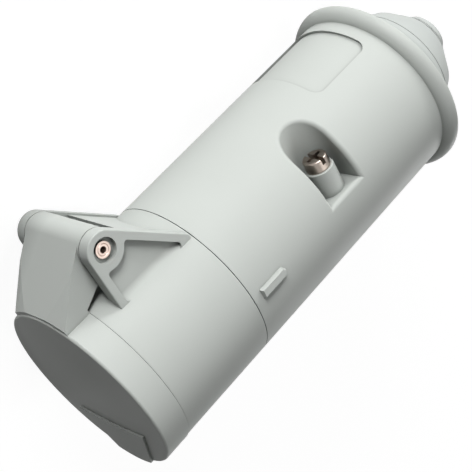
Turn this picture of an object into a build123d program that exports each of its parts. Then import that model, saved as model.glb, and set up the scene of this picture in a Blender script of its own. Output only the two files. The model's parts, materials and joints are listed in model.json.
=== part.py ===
from build123d import *
from math import asin, atan2, cos, degrees, hypot, radians, sin, sqrt
import os

# A hand-held circular power connector with a sprung lid, three pin sleeves and a screwed cable clamp.
# Each piece is drawn with X along the connector from the lid face to the cable end, Y towards the
# hinge and Z across it, and is then turned to lie as it comes to rest. All sizes are in millimetres.

# Clearances
seat_gap = 0.3
slip_gap = 0.1
past = 1.0
lid_gap = 0.15
seam_gap = 0.22

# Body
body_r = 26.0
front_wall = 4.8
rear_wall = 2.5
seam_x = 39.9
rear_len = 80.2

# Lid
lid_proud = 0.2
lid_plate = 2.4
lid_skirt = 8.2
lid_wall = 2.2
lid_edge_r = 0.7
thumb_field_rise = 0.6
thumb_field_y = -11.8
thumb_field_sag = 1.1
thumb_field_top_w = 28.6
thumb_field_rim_w = 13.6
gasket_w = 3.2
gasket_chamfer = 0.8

# Hinge
hinge_x = 18.75
hinge_rise = 9.5
barrel_r = 5.0
pin_r = 2.15
pin_hole_r = 0.75
pin_run = 0.05
ear_out_z = 16.0
ear_t = 3.5
ear_arm_t = 2.2
ear_arm_slope = 45.0
ear_web_depth = 1.5
ear_boss_rim = 0.4
ear_pocket_r = 0.9
ear_tip_wall = 2.2
ear_foot_sink = 0.05
ear_edge_r = 0.35
ear_root_sink = 1.4
ear_seam_gap = 0.5
pin_sink = 0.8
counterbore_r = 3.25
counterbore_depth = 1.3
bridge_gap = 3.3
bridge_drop = 0.5
bridge_seam_gap = 2.1
arm_half_w = 11.6
arm_root_x = 0.4
arm_root_rise = 0.7
arm_under_drop = 1.6
arm_clearance = 0.4

# Lid spring
spring_wire_r = 0.4
spring_coil_r = 3.1
spring_turns = 4
spring_pitch = 1.1
spring_bends = 12
spring_wire_sides = 8
spring_tang = 1.5

# Plug socket and contact insert
socket_depth = 30.0
mouth_x = 4.2
neck_taper = 0.8
insert_r = 16.6
insert_front_x = 6.0
insert_seat_t = 5.0
key_w = 6.0
key_depth = 0.8
contact_circle_r = 9.2
contact_angles = {"earth": 270.0, "line": 30.0, "neutral": 150.0}
line_pin_r = 2.5
earth_pin_r = 3.0
sleeve_wall = 1.25
sleeve_clearance = 0.05
sleeve_front_x = 9.0
sleeve_slot_w = 0.6
sleeve_slot_len = 14.0
sleeve_web = 5.0
collar_rise = 0.9
collar_t = 1.8
ring_x = 3.0
ring_w = 0.7
ring_t = 0.35
terminal_len = 8.5
wire_hole_r = 1.6
wire_hole_depth = 7.0
terminal_screw_x = 3.5
terminal_screw_r = 1.25
terminal_head_r = 2.1
terminal_head_h = 1.6
terminal_slot_w = 0.6
terminal_slot_depth = 0.7
terminal_bite = 0.7
retainer_t = 3.4
retainer_notch_w = 3.0
retainer_notch_depth = 1.4
retainer_notches = (45.0, 135.0, 225.0, 315.0)
insert_screw_r = 1.5
insert_screw_len = 8.0
insert_head_r = 2.8
insert_head_h = 1.9
insert_slot_w = 0.8
insert_slot_depth = 0.9

# Joint between the two housings
spigot_len = 7.5
spigot_wall = 3.4
spigot_clearance = 0.2
seal_half = 0.88
seal_chamfer = 0.4
seal_stand = 0.16
groove_room = 0.3

# Clamp screws, their pockets and the clamp bar
clamp_x = 80.2
clamp_inset = 3.8
pocket_r = 6.2
pocket_floor_y = 1.8
pocket_wall = 2.0
pocket_edge_r = 1.2
boss_r = 4.1
boss_top_y = 9.6
boss_edge_r = 0.3
screw_head_r = 3.5
screw_head_h = 3.4
screw_head_edge_r = 0.5
screw_shank_r = 2.0
screw_hole_gap = 0.2
screw_slot_w = 1.0
screw_slot_depth = 1.4
screw_cross_len = 4.2
screw_turn = 35.0
screw_tail = 2.2
cable_r = 6.0
anvil_t = 4.0
anvil_gap = 0.6
anvil_depth = 4.6
bar_w = 9.0
bar_t = 4.6
bar_gap = 1.4
bar_groove_r = 7.5
bar_shoulder_z = 15.0
bar_belly_z = 10.0

# Label recess and arrow rib
recess_depth = 0.7
recess_front_x = 94.0
recess_rear_x = 116.3
recess_half_angle = 33.5
recess_corner_r = 3.0
arrow_front_x = 42.6
arrow_len = 10.2
arrow_w = 3.4
arrow_top_w = 2.0
arrow_rise = 1.0
arrow_point = 1.2
arrow_sink = 0.5

# Cable end
rim_section_r = 3.9
rim_proud = 2.7
rim_back_angle = 20.0
gland_spigot_len = 8.0
gland_spigot_wall = 2.6
gland_groove_x = 2.4
gland_back_x = 10.0
gland_mouth_w = 1.5
gland_lip = 1.5
gland_lip_x = 6.0
gland_seal_half = 0.75
nose_flange_t = 2.5
nose_base_x = 12.3
nose_shoulder_x = 18.9
nose_shoulder_r = 15.75
nose_shoulder_step = 0.7
nose_step_x = 21.7
nose_step_r = 12.2
nose_ledge_x = 24.1
nose_ledge_r = 9.6
nose_neck_r = 6.3
nose_tip_x = 30.2
nose_tip_r = 5.3
nose_tip_chamfer = 0.6
nose_wall = 2.0
entry_r = 3.6
entry_len = 3.0

# Places worked out from the sizes
lid_r = body_r + lid_proud
skirt_in_r = lid_r - lid_wall
neck_x = lid_skirt + lid_gap
rear_x = seam_x + seam_gap
neck_r = skirt_in_r - 2 * seat_gap
mouth_r = neck_r - neck_taper
front_in_r = body_r - front_wall
hinge_y = body_r + hinge_rise
ear_in_z = ear_out_z - ear_t
barrel_half = ear_in_z - seat_gap
pin_half = ear_out_z - pin_sink
rear_in_r = body_r - rear_wall
spigot_r = rear_in_r - spigot_clearance
spigot_end_x = seam_x + spigot_len
bay_r = spigot_r - spigot_wall
socket_end_x = mouth_x + socket_depth
retainer_x = socket_end_x + insert_seat_t
terminal_x = retainer_x + retainer_t
terminal_end_x = terminal_x + terminal_len
body_end_x = seam_x + rear_len
clamp_z = rear_in_r - clamp_inset
bar_top_y = pocket_floor_y - pocket_wall - bar_gap
bar_low_y = bar_top_y - bar_t
rim_peak_r = body_r + rim_proud
rim_x = body_end_x + rim_section_r
rim_centre_r = rim_peak_r - rim_section_r
gland_bore_r = spigot_r - gland_spigot_wall
lip_r = gland_bore_r - gland_lip
nose_base_r = lip_r - slip_gap

# The ears' straight edges are tangents of the boss round the pin
tangent_x = hinge_x + barrel_r * sin(radians(ear_arm_slope))
tangent_y = hinge_y + barrel_r * cos(radians(ear_arm_slope))
foot_y = sqrt(body_r ** 2 - ear_out_z ** 2)
ear_root_y = foot_y - ear_root_sink
ear_end_x = seam_x - ear_seam_gap
tip_rise = tangent_x + tangent_y - ear_end_x


def turned(*points):
    """A ring turned about the connector's axis from (x, radius) points."""
    return revolve(make_face(Polyline(*points, close=True)), Axis.X)


def slab(points, z0, z1):
    """A flat profile in the hinge plane, given depth from z0 to z1."""
    return Pos(0, 0, z0) * extrude(make_face(Polyline(*points, close=True)), z1 - z0)


def across(x, y, r, z0, z1):
    """A round bar along the hinge pin."""
    return Pos(x, y, (z0 + z1) / 2) * Cylinder(r, z1 - z0)


def along(x0, x1, r, y=0.0, z=0.0):
    """A round bar along the connector."""
    return Pos((x0 + x1) / 2, y, z) * Rot(0, 90, 0) * Cylinder(r, x1 - x0)


def upright(x, z, r, y0, y1):
    """A round bar towards the hinge."""
    return Pos(x, (y0 + y1) / 2, z) * Rot(90, 0, 0) * Cylinder(r, y1 - y0)


def block(x0, x1, y0, y1, z0, z1):
    """A square-cornered block between two corners."""
    return Pos((x0 + x1) / 2, (y0 + y1) / 2, (z0 + z1) / 2) * Box(x1 - x0, y1 - y0, z1 - z0)


def seal_groove(x, surface_r, half):
    """The groove for a sealing ring that stands a little proud of the surface."""
    floor_r = surface_r + seal_stand - 2 * half
    side = half + groove_room
    return turned(
        (x - side, floor_r), (x - side, surface_r + past), (x + side, surface_r + past), (x + side, floor_r),
    )


def ring_seal(x, surface_r, half):
    """The sealing ring that lies in such a groove, square with its corners cut."""
    mid_r = surface_r + seal_stand - half
    short = half - seal_chamfer
    return turned(
        (x - half, mid_r - short), (x - half, mid_r + short), (x - short, mid_r + half),
        (x + short, mid_r + half), (x + half, mid_r + short), (x + half, mid_r - short),
        (x + short, mid_r - half), (x - short, mid_r - half),
    )


def ear_profile():
    """The ear seen along the pin, with its foot sunk in the housing wall."""
    return [
        (hinge_x, hinge_y),
        (tangent_x, tangent_y),
        (ear_end_x, tip_rise),
        (ear_end_x, ear_root_y),
        (hinge_x - barrel_r, ear_root_y),
        (hinge_x - barrel_r, hinge_y),
    ]


def ear_pocket(z0, z1):
    """The hollow between an ear's two arms, which leaves a thin web and runs out on the housing."""
    left = hinge_x - barrel_r + ear_arm_t
    level = tangent_x + tangent_y - ear_arm_t * sqrt(2)
    end_x = ear_end_x - ear_tip_wall
    low_y = foot_y - ear_foot_sink
    hollow = slab(
        [(left, low_y), (left, hinge_y), (level - hinge_y, hinge_y), (end_x, level - end_x), (end_x, low_y)],
        z0, z1,
    )
    hollow -= across(hinge_x, hinge_y, barrel_r + ear_boss_rim, z0, z1)
    upright_edges = hollow.edges().filter_by(Axis.Z)
    corners = [e for e in upright_edges if e.center().Y > foot_y or e.center().X < hinge_x]
    return fillet(corners, ear_pocket_r) - along(0, seam_x, body_r)


def hinge_ear(side):
    """One hinge ear on the side of Z that is given as 1 or -1."""
    z0, z1 = sorted((side * ear_in_z, side * ear_out_z))
    w0, w1 = sorted((side * (ear_out_z - ear_web_depth), side * (ear_out_z + past)))
    c0, c1 = sorted((side * (ear_out_z - counterbore_depth), side * (ear_out_z + past)))
    ear = slab(ear_profile(), z0, z1) + across(hinge_x, hinge_y, barrel_r, z0, z1)
    face = ear.faces().sort_by(Axis.Z)[-1 if side > 0 else 0]
    ear = fillet([e for e in face.edges() if e.center().Y > ear_root_y + slip_gap], ear_edge_r)
    ear -= ear_pocket(w0, w1)
    return ear - across(hinge_x, hinge_y, counterbore_r, c0, c1)


def hinge_bridge():
    """The sloping web between the ears, hollowed round the barrel."""
    level = tangent_x + tangent_y - bridge_drop * sqrt(2)
    base_y = sqrt(body_r ** 2 - ear_in_z ** 2) - past
    front_x = hinge_x + past
    end_x = seam_x - bridge_seam_gap
    half = ear_in_z + ear_t / 4
    web = slab(
        [(front_x, base_y), (front_x, hinge_y), (level - hinge_y, hinge_y), (end_x, level - end_x),
         (end_x, base_y)],
        -half, half,
    )
    return web - across(hinge_x, hinge_y, barrel_r + bridge_gap, -half - past, half + past)


def front_housing():
    """The socket shell: neck under the lid, hinge ears, keyway, seat for the insert and rear spigot."""
    shell = turned(
        (mouth_x, 0), (mouth_x, mouth_r), (neck_x, neck_r), (neck_x, body_r), (seam_x, body_r),
        (seam_x, spigot_r), (spigot_end_x, spigot_r), (spigot_end_x, 0),
    )
    shell += hinge_bridge()
    for side in (1, -1):
        shell += hinge_ear(side)
    shell -= turned(
        (mouth_x - past, 0), (mouth_x - past, front_in_r), (socket_end_x, front_in_r),
        (socket_end_x, insert_r + slip_gap), (retainer_x, insert_r + slip_gap), (retainer_x, bay_r),
        (spigot_end_x + past, bay_r), (spigot_end_x + past, 0),
    )
    shell -= seal_groove(seam_x + spigot_len / 2, spigot_r, seal_half)
    shell -= across(hinge_x, hinge_y, pin_r, -ear_out_z, ear_out_z)
    shell -= across(hinge_x + spring_coil_r, hinge_y, spring_wire_r + slip_gap,
                    -ear_in_z - spring_tang - seat_gap, -ear_in_z)
    key_out = front_in_r + key_depth
    return shell - block(mouth_x - past, socket_end_x, -key_out, -insert_r, -key_w / 2, key_w / 2)


def lid_arm_profile():
    """The lid arm seen along the pin: a wedge from the rim to the barrel's two tangents."""
    root_x, root_y = arm_root_x, body_r + arm_root_rise
    dx, dy = hinge_x - root_x, hinge_y - root_y
    slope = atan2(dy, dx) + asin(barrel_r / hypot(dx, dy))
    under_x, under_y = lid_skirt, lid_r - arm_under_drop
    ux, uy = hinge_x - under_x, hinge_y - under_y
    under = atan2(uy, ux) - asin(barrel_r / hypot(ux, uy))
    inner_y = skirt_in_r - lid_wall / 2
    return [
        (root_x, root_y),
        (hinge_x - barrel_r * sin(slope), hinge_y + barrel_r * cos(slope)),
        (hinge_x, hinge_y),
        (hinge_x + barrel_r * sin(under), hinge_y - barrel_r * cos(under)),
        (under_x, under_y),
        (under_x, inner_y),
        (root_x, inner_y),
    ]


def lid_arm():
    """The arm from the lid's rim to the barrel, kept clear of the housing."""
    end_x = hinge_x + 2 * barrel_r
    root_r = body_r + arm_root_rise
    arm = slab(lid_arm_profile(), -arm_half_w, arm_half_w)
    arm &= turned((0, 0), (0, root_r), (end_x, root_r + end_x), (end_x, 0))
    arm += across(hinge_x, hinge_y, barrel_r, -barrel_half, barrel_half)
    arm -= along(lid_skirt, end_x, body_r + arm_clearance)
    return arm - along(lid_plate, lid_skirt + past, skirt_in_r)


def thumb_field():
    """The raised field at the lid's lower edge."""
    top = thumb_field_top_w / 2
    rim = thumb_field_rim_w / 2
    step = ThreePointArc((thumb_field_y, -top), (thumb_field_y - thumb_field_sag, 0), (thumb_field_y, top))
    sides = Polyline((thumb_field_y, top), (-lid_r, rim), (-lid_r, -rim), (thumb_field_y, -top))
    outline = Plane.YZ * make_face([step, sides])
    field = Pos(-thumb_field_rise, 0, 0) * extrude(outline, thumb_field_rise + lid_edge_r)
    return field & along(-thumb_field_rise, lid_edge_r, lid_r)


def lid():
    """The cap with its skirt, hinge arm, barrel and raised thumb field."""
    cap = turned((0, 0), (0, lid_r), (lid_skirt, lid_r), (lid_skirt, skirt_in_r), (lid_plate, skirt_in_r),
                 (lid_plate, 0))
    cap = fillet(cap.edges().filter_by(GeomType.CIRCLE).group_by(Axis.X)[0], lid_edge_r)
    cap += lid_arm()
    cap += thumb_field()
    cap -= across(hinge_x, hinge_y, pin_r + pin_run, -barrel_half - past, barrel_half + past)
    return cap - spring_room()


def spring_room():
    """The counterbore for the coil in the barrel's end."""
    room_r = spring_coil_r + spring_wire_r + seat_gap
    depth = spring_turns * spring_pitch + 2 * spring_wire_r + seat_gap
    return across(hinge_x, hinge_y, room_r, -barrel_half - past, -barrel_half + depth)


def lid_spring():
    """A closing spring coiled round the pin in short bends, with a tang held in one ear."""
    coil = Helix(spring_pitch, spring_turns * spring_pitch, spring_coil_r)
    steps = spring_turns * spring_bends
    bends = [coil @ (step / steps) for step in range(steps + 1)]
    tang_end = Vector(spring_coil_r, 0, -spring_tang - seat_gap - spring_wire_r)
    wire = Plane(tang_end, z_dir=(0, 0, 1)) * RegularPolygon(spring_wire_r, spring_wire_sides)
    spring = sweep(wire, path=Polyline(tang_end, *bends), transition=Transition.RIGHT)
    return Pos(hinge_x, hinge_y, -barrel_half + spring_wire_r) * spring


def hinge_pin():
    """A tubular pin pressed into both ears."""
    bore = across(hinge_x, hinge_y, pin_hole_r, -pin_half - past, pin_half + past)
    return across(hinge_x, hinge_y, pin_r, -pin_half, pin_half) - bore


def lid_gasket():
    """The flat seal that lies inside the lid against the mouth of the socket."""
    outer_r = skirt_in_r - slip_gap
    inner_r = outer_r - gasket_w
    face_x = mouth_x - seat_gap
    return turned(
        (lid_plate, inner_r), (lid_plate, outer_r), (face_x, outer_r - gasket_chamfer), (face_x, inner_r),
    )


def contact_place(name):
    """Where a contact stands, as distances across the connector."""
    turn = radians(contact_angles[name])
    return contact_circle_r * sin(turn), contact_circle_r * cos(turn)


def contact_lean(name):
    """The turn that points a terminal's screw away from the connector's axis."""
    y, z = contact_place(name)
    return degrees(atan2(z, y))


def contact_bore(name):
    """The bore radius of a sleeve, for its pin."""
    return (earth_pin_r if name == "earth" else line_pin_r) + sleeve_clearance


def contact_outer(name):
    """The outer radius of a sleeve."""
    return contact_bore(name) + sleeve_wall


def contact_insert():
    """The moulded carrier: a straight cylinder with three chambers and the hole for its screw."""
    body = along(insert_front_x, retainer_x, insert_r)
    for name in contact_angles:
        y, z = contact_place(name)
        body -= along(insert_front_x - past, retainer_x + past, contact_outer(name) + slip_gap, y, z)
    return body - along(retainer_x - insert_screw_len, retainer_x + past, insert_screw_r)


def contact_sleeve(name):
    """A turned sleeve, slotted at the front, with a collar and a cross-drilled terminal."""
    y, z = contact_place(name)
    bore = contact_bore(name)
    outer = contact_outer(name)
    sleeve = along(sleeve_front_x, terminal_end_x, outer, y, z)
    sleeve += along(retainer_x, retainer_x + collar_t, outer + collar_rise, y, z)
    sleeve -= along(sleeve_front_x - past, retainer_x - sleeve_web, bore, y, z)
    slot = block(sleeve_front_x - past, sleeve_front_x + sleeve_slot_len, -outer - past, outer + past,
                 -sleeve_slot_w / 2, sleeve_slot_w / 2)
    sleeve -= Pos(0, y, z) * slot
    sleeve -= Pos(0, y, z) * Rot(90, 0, 0) * slot
    sleeve -= sleeve_ring(name, past)
    sleeve -= along(terminal_end_x - wire_hole_depth, terminal_end_x + past, wire_hole_r, y, z)
    tapped = upright(terminal_end_x - terminal_screw_x, 0, terminal_screw_r, 0, outer + past)
    return sleeve - Pos(0, y, z) * Rot(contact_lean(name), 0, 0) * tapped


def sleeve_ring(name, proud):
    """The ring round a sleeve's front, or its groove when it stands proud."""
    y, z = contact_place(name)
    outer = contact_outer(name)
    x = sleeve_front_x + ring_x
    ring = along(x - ring_w / 2, x + ring_w / 2, outer + proud, y, z)
    return ring - along(x - ring_w, x + ring_w, outer - ring_t, y, z)


def sleeve_rings():
    """The spring rings that close the sleeves on the pins."""
    return Compound(children=[sleeve_ring(name, 0) for name in contact_angles])


def terminal_screws():
    """The three screws that hold the wires."""
    screws = []
    x = terminal_end_x - terminal_screw_x
    for name in contact_angles:
        y, z = contact_place(name)
        seat_y = contact_outer(name)
        top_y = seat_y + terminal_head_h
        screw = upright(x, 0, terminal_screw_r, wire_hole_r - terminal_bite, seat_y)
        screw += upright(x, 0, terminal_head_r, seat_y, top_y)
        screw -= block(x - terminal_head_r - past, x + terminal_head_r + past, top_y - terminal_slot_depth,
                       top_y + past, -terminal_slot_w / 2, terminal_slot_w / 2)
        screws.append(Pos(0, y, z) * Rot(contact_lean(name), 0, 0) * screw)
    return Compound(children=screws)


def insert_retainer():
    """The plate behind the insert that holds the sleeves' collars and takes the insert's screw."""
    plate = along(retainer_x, terminal_x, bay_r - slip_gap)
    for name in contact_angles:
        y, z = contact_place(name)
        outer = contact_outer(name) + slip_gap
        plate -= along(retainer_x - past, terminal_x + past, outer, y, z)
        plate -= along(retainer_x - past, retainer_x + collar_t, outer + collar_rise, y, z)
    plate -= along(retainer_x - past, terminal_x + past, insert_screw_r + screw_hole_gap)
    notch = block(terminal_x - retainer_notch_depth, terminal_x + past, bay_r - retainer_notch_w, bay_r,
                  -retainer_notch_w / 2, retainer_notch_w / 2)
    for angle in retainer_notches:
        plate -= Rot(angle, 0, 0) * notch
    return plate


def insert_screw():
    """The screw in the middle of the retainer that draws the insert against it."""
    head_x = terminal_x + insert_head_h
    screw = along(retainer_x - insert_screw_len + seat_gap, terminal_x, insert_screw_r)
    screw += along(terminal_x, head_x, insert_head_r)
    reach = insert_head_r + past
    return screw - block(head_x - insert_slot_depth, head_x + past, -reach, reach,
                         -insert_slot_w / 2, insert_slot_w / 2)


def seam_seal():
    """The sealing ring between the two housings."""
    return ring_seal(seam_x + spigot_len / 2, spigot_r, seal_half)


def pocket_space(side, grow, y0, y1):
    """The room of a screw pocket, grown by a wall, between two heights."""
    r = pocket_r + grow
    z = side * clamp_z
    z0, z1 = sorted((z, side * (body_r + pocket_r)))
    return upright(clamp_x, z, r, y0, y1) + block(clamp_x - r, clamp_x + r, y0, y1, z0, z1)


def is_pocket_rim(edge):
    """Whether an edge lies on the outside of the body around a screw pocket."""
    places = [edge @ share for share in (0.0, 0.3, 0.5, 0.7, 1.0)]
    on_skin = all(abs(hypot(p.Y, p.Z) - body_r) < slip_gap for p in places)
    return on_skin and all(abs(p.X - clamp_x) < pocket_r + past for p in places)


def clamp_anvil():
    """The rib between the two pockets that the cable is pressed against."""
    reach = clamp_z - pocket_r - pocket_wall / 2
    top_y = cable_r + anvil_depth
    rib = block(clamp_x - anvil_t / 2, clamp_x + anvil_t / 2, cable_r, top_y, -reach, reach)
    return rib - along(clamp_x - anvil_t, clamp_x + anvil_t, cable_r + anvil_gap)


def rear_housing():
    """The handle shell: screw pockets with bosses, clamp anvil, label recess and arrow rib."""
    solid = along(rear_x, body_end_x, body_r)
    shell = solid - along(rear_x - past, body_end_x + past, rear_in_r)
    for side in (1, -1):
        walls = pocket_space(side, pocket_wall, pocket_floor_y - pocket_wall, body_r)
        shell += walls & along(seam_x + past, body_end_x - past, (body_r + rear_in_r) / 2)
    for side in (1, -1):
        shell -= pocket_space(side, 0, pocket_floor_y, body_r + past)
    shell = fillet([e for e in shell.edges() if is_pocket_rim(e)], pocket_edge_r)
    for side in (1, -1):
        z = side * clamp_z
        boss = upright(clamp_x, z, boss_r, pocket_floor_y - pocket_wall / 2, boss_top_y)
        boss = fillet(boss.edges().group_by(Axis.Y)[-1], boss_edge_r)
        shell += boss & solid
        shell -= upright(clamp_x, z, screw_shank_r + screw_hole_gap, bar_top_y, boss_top_y + past)
    shell += clamp_anvil()
    shell -= label_recess()
    return shell + arrow_rib()


def label_recess():
    """A shallow field sunk into the body on the hinge side."""
    half = body_r * sin(radians(recess_half_angle))
    outline = Plane.XZ * RectangleRounded(recess_rear_x - recess_front_x, 2 * half, recess_corner_r)
    cut = Pos((recess_front_x + recess_rear_x) / 2, 0, 0) * extrude(outline, -body_r - past)
    return cut - along(recess_front_x - past, recess_rear_x + past, body_r - recess_depth)


def arrow_rib():
    """The raised alignment arrow beside the seam, with its point towards the cable."""
    x0, x1 = arrow_front_x, arrow_front_x + arrow_len
    half = arrow_w / 2
    height = arrow_rise + arrow_sink
    base = Polygon((x0, -half), (x1 - arrow_point, -half), (x1, 0), (x1 - arrow_point, half), (x0, half),
                   align=None)
    taper = degrees(atan2((arrow_w - arrow_top_w) / 2, height))
    return Pos(0, 0, body_r - arrow_sink) * extrude(base, height, taper=taper)


def clamp_screws():
    """Two cheese-head screws with a slot and a cross, standing on the pocket bosses."""
    pair = []
    top_y = boss_top_y + screw_head_h
    low_y = bar_low_y - screw_tail
    for side in (1, -1):
        z = side * clamp_z
        head = upright(clamp_x, z, screw_head_r, boss_top_y, top_y)
        head = fillet(head.edges().group_by(Axis.Y)[-1], screw_head_edge_r)
        turn = Pos(clamp_x, 0, z) * Rot(0, screw_turn, 0)
        for length, width in ((2 * screw_head_r + past, screw_slot_w), (screw_slot_w, screw_cross_len)):
            head -= turn * block(-length / 2, length / 2, top_y - screw_slot_depth, top_y + past,
                                 -width / 2, width / 2)
        pair.append(head + upright(clamp_x, z, screw_shank_r, low_y, boss_top_y))
    return Compound(children=pair)


def clamp_bar():
    """The tapped bar under the cable that the screws pull up."""
    half_z = rear_in_r
    belly_y = -bar_groove_r - bar_t
    outline = Plane.YZ * Polygon(
        (bar_top_y, -half_z), (bar_top_y, half_z), (bar_low_y, half_z), (bar_low_y, bar_shoulder_z),
        (belly_y, bar_belly_z), (belly_y, -bar_belly_z), (bar_low_y, -bar_shoulder_z), (bar_low_y, -half_z),
        align=None,
    )
    bar = Pos(clamp_x - bar_w / 2, 0, 0) * extrude(outline, bar_w)
    bar &= along(clamp_x - bar_w, clamp_x + bar_w, rear_in_r - seat_gap)
    for side in (1, -1):
        bar -= upright(clamp_x, side * clamp_z, screw_shank_r, belly_y, 0)
    return bar - along(clamp_x - bar_w, clamp_x + bar_w, bar_groove_r)


def gland_ring():
    """The cable end's ring: a full round rim, a dished back and a spigot in the handle shell."""
    start_x = rim_x - sqrt(rim_section_r ** 2 - (body_r - rim_centre_r) ** 2)
    back_x = rim_x + rim_section_r * cos(radians(rim_back_angle))
    back_r = rim_centre_r + rim_section_r * sin(radians(rim_back_angle))
    mouth_end_x = body_end_x + gland_back_x
    spigot_x = body_end_x - gland_spigot_len
    rim = ThreePointArc((start_x, body_r), (rim_x, rim_peak_r), (back_x, back_r))
    rest = Polyline(
        (back_x, back_r), (mouth_end_x, lip_r + gland_mouth_w), (mouth_end_x, lip_r),
        (body_end_x + gland_lip_x, lip_r), (body_end_x + gland_lip_x, gland_bore_r),
        (spigot_x, gland_bore_r), (spigot_x, spigot_r), (body_end_x, spigot_r), (body_end_x, body_r),
        (start_x, body_r),
    )
    ring = revolve(make_face([rim, rest]), Axis.X)
    return ring - seal_groove(body_end_x - gland_groove_x, spigot_r, gland_seal_half)


def gland_seal():
    """The sealing ring on the gland's spigot."""
    return ring_seal(body_end_x - gland_groove_x, spigot_r, gland_seal_half)


def cable_grommet():
    """The soft nose, stepped so that it can be cut back to the cable's size."""
    end = body_end_x
    lip_x = end + gland_lip_x
    flange_r = gland_bore_r - slip_gap
    tip_x = end + nose_tip_x
    entry_x = tip_x - entry_len
    base_in_r = nose_base_r - nose_wall
    return turned(
        (lip_x - nose_flange_t, flange_r), (lip_x - slip_gap, flange_r), (lip_x - slip_gap, nose_base_r),
        (end + nose_base_x, nose_base_r), (end + nose_shoulder_x, nose_shoulder_r),
        (end + nose_shoulder_x + nose_shoulder_step, nose_shoulder_r - nose_shoulder_step),
        (end + nose_step_x, nose_step_r), (end + nose_step_x, nose_step_r - nose_shoulder_step),
        (end + nose_ledge_x, nose_ledge_r), (end + nose_ledge_x, nose_ledge_r - nose_shoulder_step),
        (entry_x, nose_neck_r), (entry_x, nose_tip_r),
        (tip_x - nose_tip_chamfer, nose_tip_r), (tip_x, nose_tip_r - nose_tip_chamfer), (tip_x, entry_r),
        (entry_x, entry_r), (end + nose_step_x, nose_ledge_r - nose_wall),
        (end + nose_shoulder_x, nose_shoulder_r - nose_wall - nose_shoulder_step),
        (end + nose_base_x, base_in_r), (lip_x - nose_flange_t, base_in_r),
    )


# The ear's outer corner and the gland's rim lie on the floor together, with the axis level
corner_r = hypot(hinge_y + barrel_r, ear_out_z)
corner_lead = degrees(atan2(ear_out_z, hinge_y + barrel_r))
rest_roll = degrees(asin(rim_peak_r / corner_r)) - corner_lead

placing = Pos(mouth_x, 0, 0) * Rot(rest_roll, 0, 0) * Rot(0, 0, 180)

nodes = {
    "front_housing": front_housing(),
    "rear_housing": rear_housing(),
    "lid": lid(),
    "lid_gasket": lid_gasket(),
    "lid_spring": lid_spring(),
    "hinge_pin": hinge_pin(),
    "contact_insert": contact_insert(),
    "contact_sleeve_earth": contact_sleeve("earth"),
    "contact_sleeve_line": contact_sleeve("line"),
    "contact_sleeve_neutral": contact_sleeve("neutral"),
    "sleeve_rings": sleeve_rings(),
    "terminal_screws": terminal_screws(),
    "insert_retainer": insert_retainer(),
    "insert_screw": insert_screw(),
    "seam_seal": seam_seal(),
    "clamp_screws": clamp_screws(),
    "clamp_bar": clamp_bar(),
    "gland_ring": gland_ring(),
    "gland_seal": gland_seal(),
    "cable_grommet": cable_grommet(),
}

os.makedirs("parts", exist_ok=True)
for name, shape in nodes.items():
    export_step(placing * shape, "parts/" + name + ".step")

print("rest roll", round(rest_roll, 3), "degrees")
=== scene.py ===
import json
import logging
import math
from dataclasses import dataclass
from enum import Enum

import bmesh
import bpy
from mathutils import Matrix, Vector


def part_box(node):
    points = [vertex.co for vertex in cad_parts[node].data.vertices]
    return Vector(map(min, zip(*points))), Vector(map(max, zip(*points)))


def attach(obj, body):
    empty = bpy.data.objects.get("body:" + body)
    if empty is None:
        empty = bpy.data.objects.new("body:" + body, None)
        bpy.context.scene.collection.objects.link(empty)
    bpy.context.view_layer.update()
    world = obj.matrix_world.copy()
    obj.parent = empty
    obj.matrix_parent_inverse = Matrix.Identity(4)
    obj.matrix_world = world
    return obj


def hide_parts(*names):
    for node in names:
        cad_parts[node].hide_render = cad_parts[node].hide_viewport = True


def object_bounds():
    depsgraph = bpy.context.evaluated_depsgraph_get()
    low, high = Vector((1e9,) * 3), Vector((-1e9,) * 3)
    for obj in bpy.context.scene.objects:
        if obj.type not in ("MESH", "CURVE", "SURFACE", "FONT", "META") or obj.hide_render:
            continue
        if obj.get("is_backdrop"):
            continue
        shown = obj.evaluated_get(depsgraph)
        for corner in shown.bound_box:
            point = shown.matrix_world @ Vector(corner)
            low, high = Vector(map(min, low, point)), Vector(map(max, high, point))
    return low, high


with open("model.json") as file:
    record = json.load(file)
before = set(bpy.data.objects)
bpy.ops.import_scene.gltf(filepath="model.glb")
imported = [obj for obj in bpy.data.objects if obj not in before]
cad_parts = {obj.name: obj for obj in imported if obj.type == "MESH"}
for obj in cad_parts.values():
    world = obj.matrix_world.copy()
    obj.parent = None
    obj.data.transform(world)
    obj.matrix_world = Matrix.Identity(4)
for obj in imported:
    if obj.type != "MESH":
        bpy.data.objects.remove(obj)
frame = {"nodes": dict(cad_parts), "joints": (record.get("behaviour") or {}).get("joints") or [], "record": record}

LOG = logging.getLogger("coupler")
MM = 0.001
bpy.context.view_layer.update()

# Sizes in millimetres that several sub-assemblies share
BODY_R = 26.0
SEAL_STAND = 0.16
MERGE_GAP = 0.001

# The sides that the ears and the screws repeat on, each with its sign across
SIDES = (("near", 1), ("far", -1))


class Body(Enum):
    """The two rigid bodies of the connector."""

    HOUSING = "housing"
    LID = "lid"


class Slot(Enum):
    """The finishes that the record names."""

    HOUSING = "housing_plastic"
    GLAND = "gland_plastic"
    INSERT = "insert_plastic"
    SEAL = "seal_rubber"
    GROMMET = "grommet_rubber"
    CONTACT = "contact_brass"
    SCREW = "screw_steel"
    SPRING = "spring_steel"
    PIN = "pin_copper"


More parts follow.
